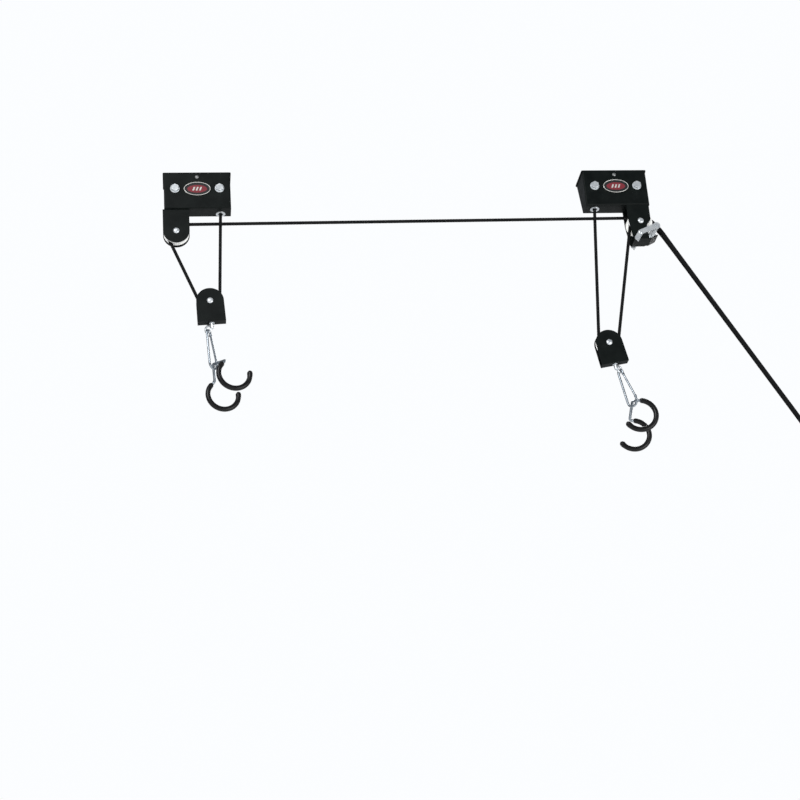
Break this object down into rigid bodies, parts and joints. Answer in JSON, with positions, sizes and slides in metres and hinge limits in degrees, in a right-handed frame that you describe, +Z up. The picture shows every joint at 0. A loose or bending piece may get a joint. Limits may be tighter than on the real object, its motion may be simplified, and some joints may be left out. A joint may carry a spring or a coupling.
{
  "type": "ceiling bicycle hoist",
  "caption": "Ceiling bicycle hoist: steel brackets with rope sheaves, pulley blocks carrying coated double hooks, a rope lock and a taut hauling rope to a wall cleat.",
  "frame": {"origin": "centre of the right-hand bracket's top plate, on the face that meets the ceiling", "axes": "+Z up out of the ceiling face, +X to the right along the line of the brackets, -Y the front with the badges"},
  "size_m": [1.1554, 0.123, 0.6081],
  "materials": {
    "bracket_paint": "black powder coat, satin",
    "zinc": "bright zinc plate",
    "dull_steel": "dull plated rivet",
    "badge": null,
    "nylon": "white moulded nylon",
    "rope": "black braided polypropylene",
    "vinyl": "black dipped vinyl",
    "cleat": "black moulded plastic"
  },
  "bodies": {
    "root": {"cage_rivets": "dull_steel", "front_rope_run": "rope", "lag_screw_washers": "zinc", "lag_screws": "zinc", "left_anchor_fall": "rope", "left_badge": "badge", "left_bracket_shell": "bracket_paint", "left_ceiling_plate": "bracket_paint", "left_head_axle": "zinc", "left_lead_fall": "rope", "left_rope_grommet": "zinc", "left_sheave_cage": "bracket_paint", "left_stopper_knot": "rope", "lock_pin": "zinc", "rear_rope_run": "rope", "right_anchor_fall": "rope", "right_badge": "badge", "right_bracket_shell": "bracket_paint", "right_ceiling_plate": "bracket_paint", "right_head_axle": "zinc", "right_lead_fall": "rope", "right_rope_grommet": "zinc", "right_sheave_cage": "bracket_paint", "right_stopper_knot": "rope", "rope_guide": "bracket_paint", "seam_rivets": "dull_steel", "tail_turns": "rope", "wall_cleat": "cleat"},
    "left_head_sheave": {"left_head_sheave": "nylon"},
    "front_head_sheave": {"front_head_sheave": "nylon"},
    "rear_head_sheave": {"rear_head_sheave": "nylon"},
    "lock": {"lock_front_plate": "zinc", "lock_rear_plate": "zinc", "lock_bridge": "zinc", "lock_bar": "zinc"},
    "left_lift": {"left_block_axle": "zinc", "left_block_bight": "rope"},
    "left_block": {"left_block_front_ear": "bracket_paint", "left_block_rear_ear": "bracket_paint", "left_block_web": "bracket_paint"},
    "left_block_sheave": {"left_block_sheave": "nylon"},
    "left_eye": {"left_swivel_eye": "zinc"},
    "left_link": {"left_snap_link": "zinc"},
    "left_gate": {"left_link_gate": "zinc"},
    "left_hook": {"left_hook_rod": "zinc", "left_hook_front_bowl": "vinyl", "left_hook_rear_bowl": "vinyl"},
    "right_lift": {"right_block_axle": "zinc", "right_block_bight": "rope"},
    "right_block": {"right_block_front_ear": "bracket_paint", "right_block_rear_ear": "bracket_paint", "right_block_web": "bracket_paint"},
    "right_block_sheave": {"right_block_sheave": "nylon"},
    "right_eye": {"right_swivel_eye": "zinc"},
    "right_link": {"right_snap_link": "zinc"},
    "right_gate": {"right_link_gate": "zinc"},
    "right_hook": {"right_hook_rod": "zinc", "right_hook_front_bowl": "vinyl", "right_hook_rear_bowl": "vinyl"}
  },
  "joints": [
    {"name": "left_lift", "type": "slide", "parent": "root", "child": "left_lift", "axis": [0, 0, 1], "range_m": [-1.2, 0.04], "deforming": ["left_anchor_fall", "left_lead_fall"]},
    {"name": "left_block_swing", "type": "hinge", "parent": "left_lift", "child": "left_block", "pos_m": [-0.7452, -0.01, -0.2503], "axis": [0, 1, 0], "range_deg": [-25, 25]},
    {"name": "left_block_sheave_spin", "type": "hinge", "parent": "left_lift", "child": "left_block_sheave", "pos_m": [-0.7452, -0.01, -0.2503], "axis": [0, 1, 0], "range_deg": [-5000, 5000]},
    {"name": "left_eye_swivel", "type": "hinge", "parent": "left_block", "child": "left_eye", "pos_m": [-0.74311, -0.01, -0.29024], "axis": [-0.0523, 0, 0.9986], "continuous": true},
    {"name": "left_link_swing", "type": "hinge", "parent": "left_eye", "child": "left_link", "pos_m": [-0.74951, -0.00421, -0.29979], "axis": [0.6419, 0.766, 0.0336], "range_deg": [-15, 15]},
    {"name": "left_gate", "type": "hinge", "parent": "left_link", "child": "left_gate", "pos_m": [-0.74597, -0.00069, -0.31082], "axis": [-0.765, 0.6428, -0.0401], "range_deg": [0, 8], "stiffness_Nm_per_rad": 0.05},
    {"name": "left_hook_swing", "type": "hinge", "parent": "left_link", "child": "left_hook", "pos_m": [-0.74293, -0.00046, -0.36524], "axis": [0.1908, -0.9816, 0], "range_deg": [-85, 10]},
    {"name": "right_lift", "type": "slide", "parent": "root", "child": "right_lift", "axis": [0, 0, 1], "range_m": [-1.21, 0.041], "deforming": ["right_anchor_fall", "right_lead_fall"]},
    {"name": "right_block_swing", "type": "hinge", "parent": "right_lift", "child": "right_block", "pos_m": [-0.0476, -0.014, -0.346], "axis": [0, 1, 0], "range_deg": [-25, 25]},
    {"name": "right_block_sheave_spin", "type": "hinge", "parent": "right_lift", "child": "right_block_sheave", "pos_m": [-0.0476, -0.014, -0.346], "axis": [0, 1, 0], "range_deg": [-5000, 5000]},
    {"name": "right_eye_swivel", "type": "hinge", "parent": "right_block", "child": "right_eye", "pos_m": [-0.04065, -0.014, -0.38539], "axis": [-0.1736, 0, 0.9848], "continuous": true},
    {"name": "right_link_swing", "type": "hinge", "parent": "right_eye", "child": "right_link", "pos_m": [-0.03227, -0.00822, -0.39326], "axis": [0.633, -0.766, 0.1116], "range_deg": [-15, 15]},
    {"name": "right_gate", "type": "hinge", "parent": "right_link", "child": "right_gate", "pos_m": [-0.02741, -0.01174, -0.40377], "axis": [0.7544, 0.6428, 0.133], "range_deg": [0, 8], "stiffness_Nm_per_rad": 0.05},
    {"name": "right_hook_swing", "type": "hinge", "parent": "right_link", "child": "right_hook", "pos_m": [-0.01776, -0.01197, -0.45741], "axis": [-0.1045, -0.9945, 0], "range_deg": [-20, 40]},
    {"name": "left_head_sheave_spin", "type": "hinge", "parent": "root", "child": "left_head_sheave", "pos_m": [-0.8005, -0.014, -0.115], "axis": [0, 1, 0], "range_deg": [-9000, 9000]},
    {"name": "front_head_sheave_spin", "type": "hinge", "parent": "root", "child": "front_head_sheave", "pos_m": [0.0385, -0.018, -0.105], "axis": [0, 1, 0], "range_deg": [-9000, 9000]},
    {"name": "rear_head_sheave_spin", "type": "hinge", "parent": "root", "child": "rear_head_sheave", "pos_m": [0.0385, -0.005, -0.105], "axis": [0, 1, 0], "range_deg": [-9000, 9000]},
    {"name": "lock_turn", "type": "hinge", "parent": "root", "child": "lock", "pos_m": [0.0343, -0.011, -0.1303], "axis": [0, 1, 0], "range_deg": [0, 15]}
  ],
  "couplings": [
    {"joint": "right_lift", "follows": "left_lift", "ratio": 1},
    {"joint": "left_block_sheave_spin", "follows": "left_lift", "rad_per_m": 58.824},
    {"joint": "right_block_sheave_spin", "follows": "left_lift", "rad_per_m": -58.824},
    {"joint": "left_head_sheave_spin", "follows": "left_lift", "rad_per_m": 117.65},
    {"joint": "front_head_sheave_spin", "follows": "left_lift", "rad_per_m": 117.65},
    {"joint": "rear_head_sheave_spin", "follows": "left_lift", "rad_per_m": 117.65}
  ]
}
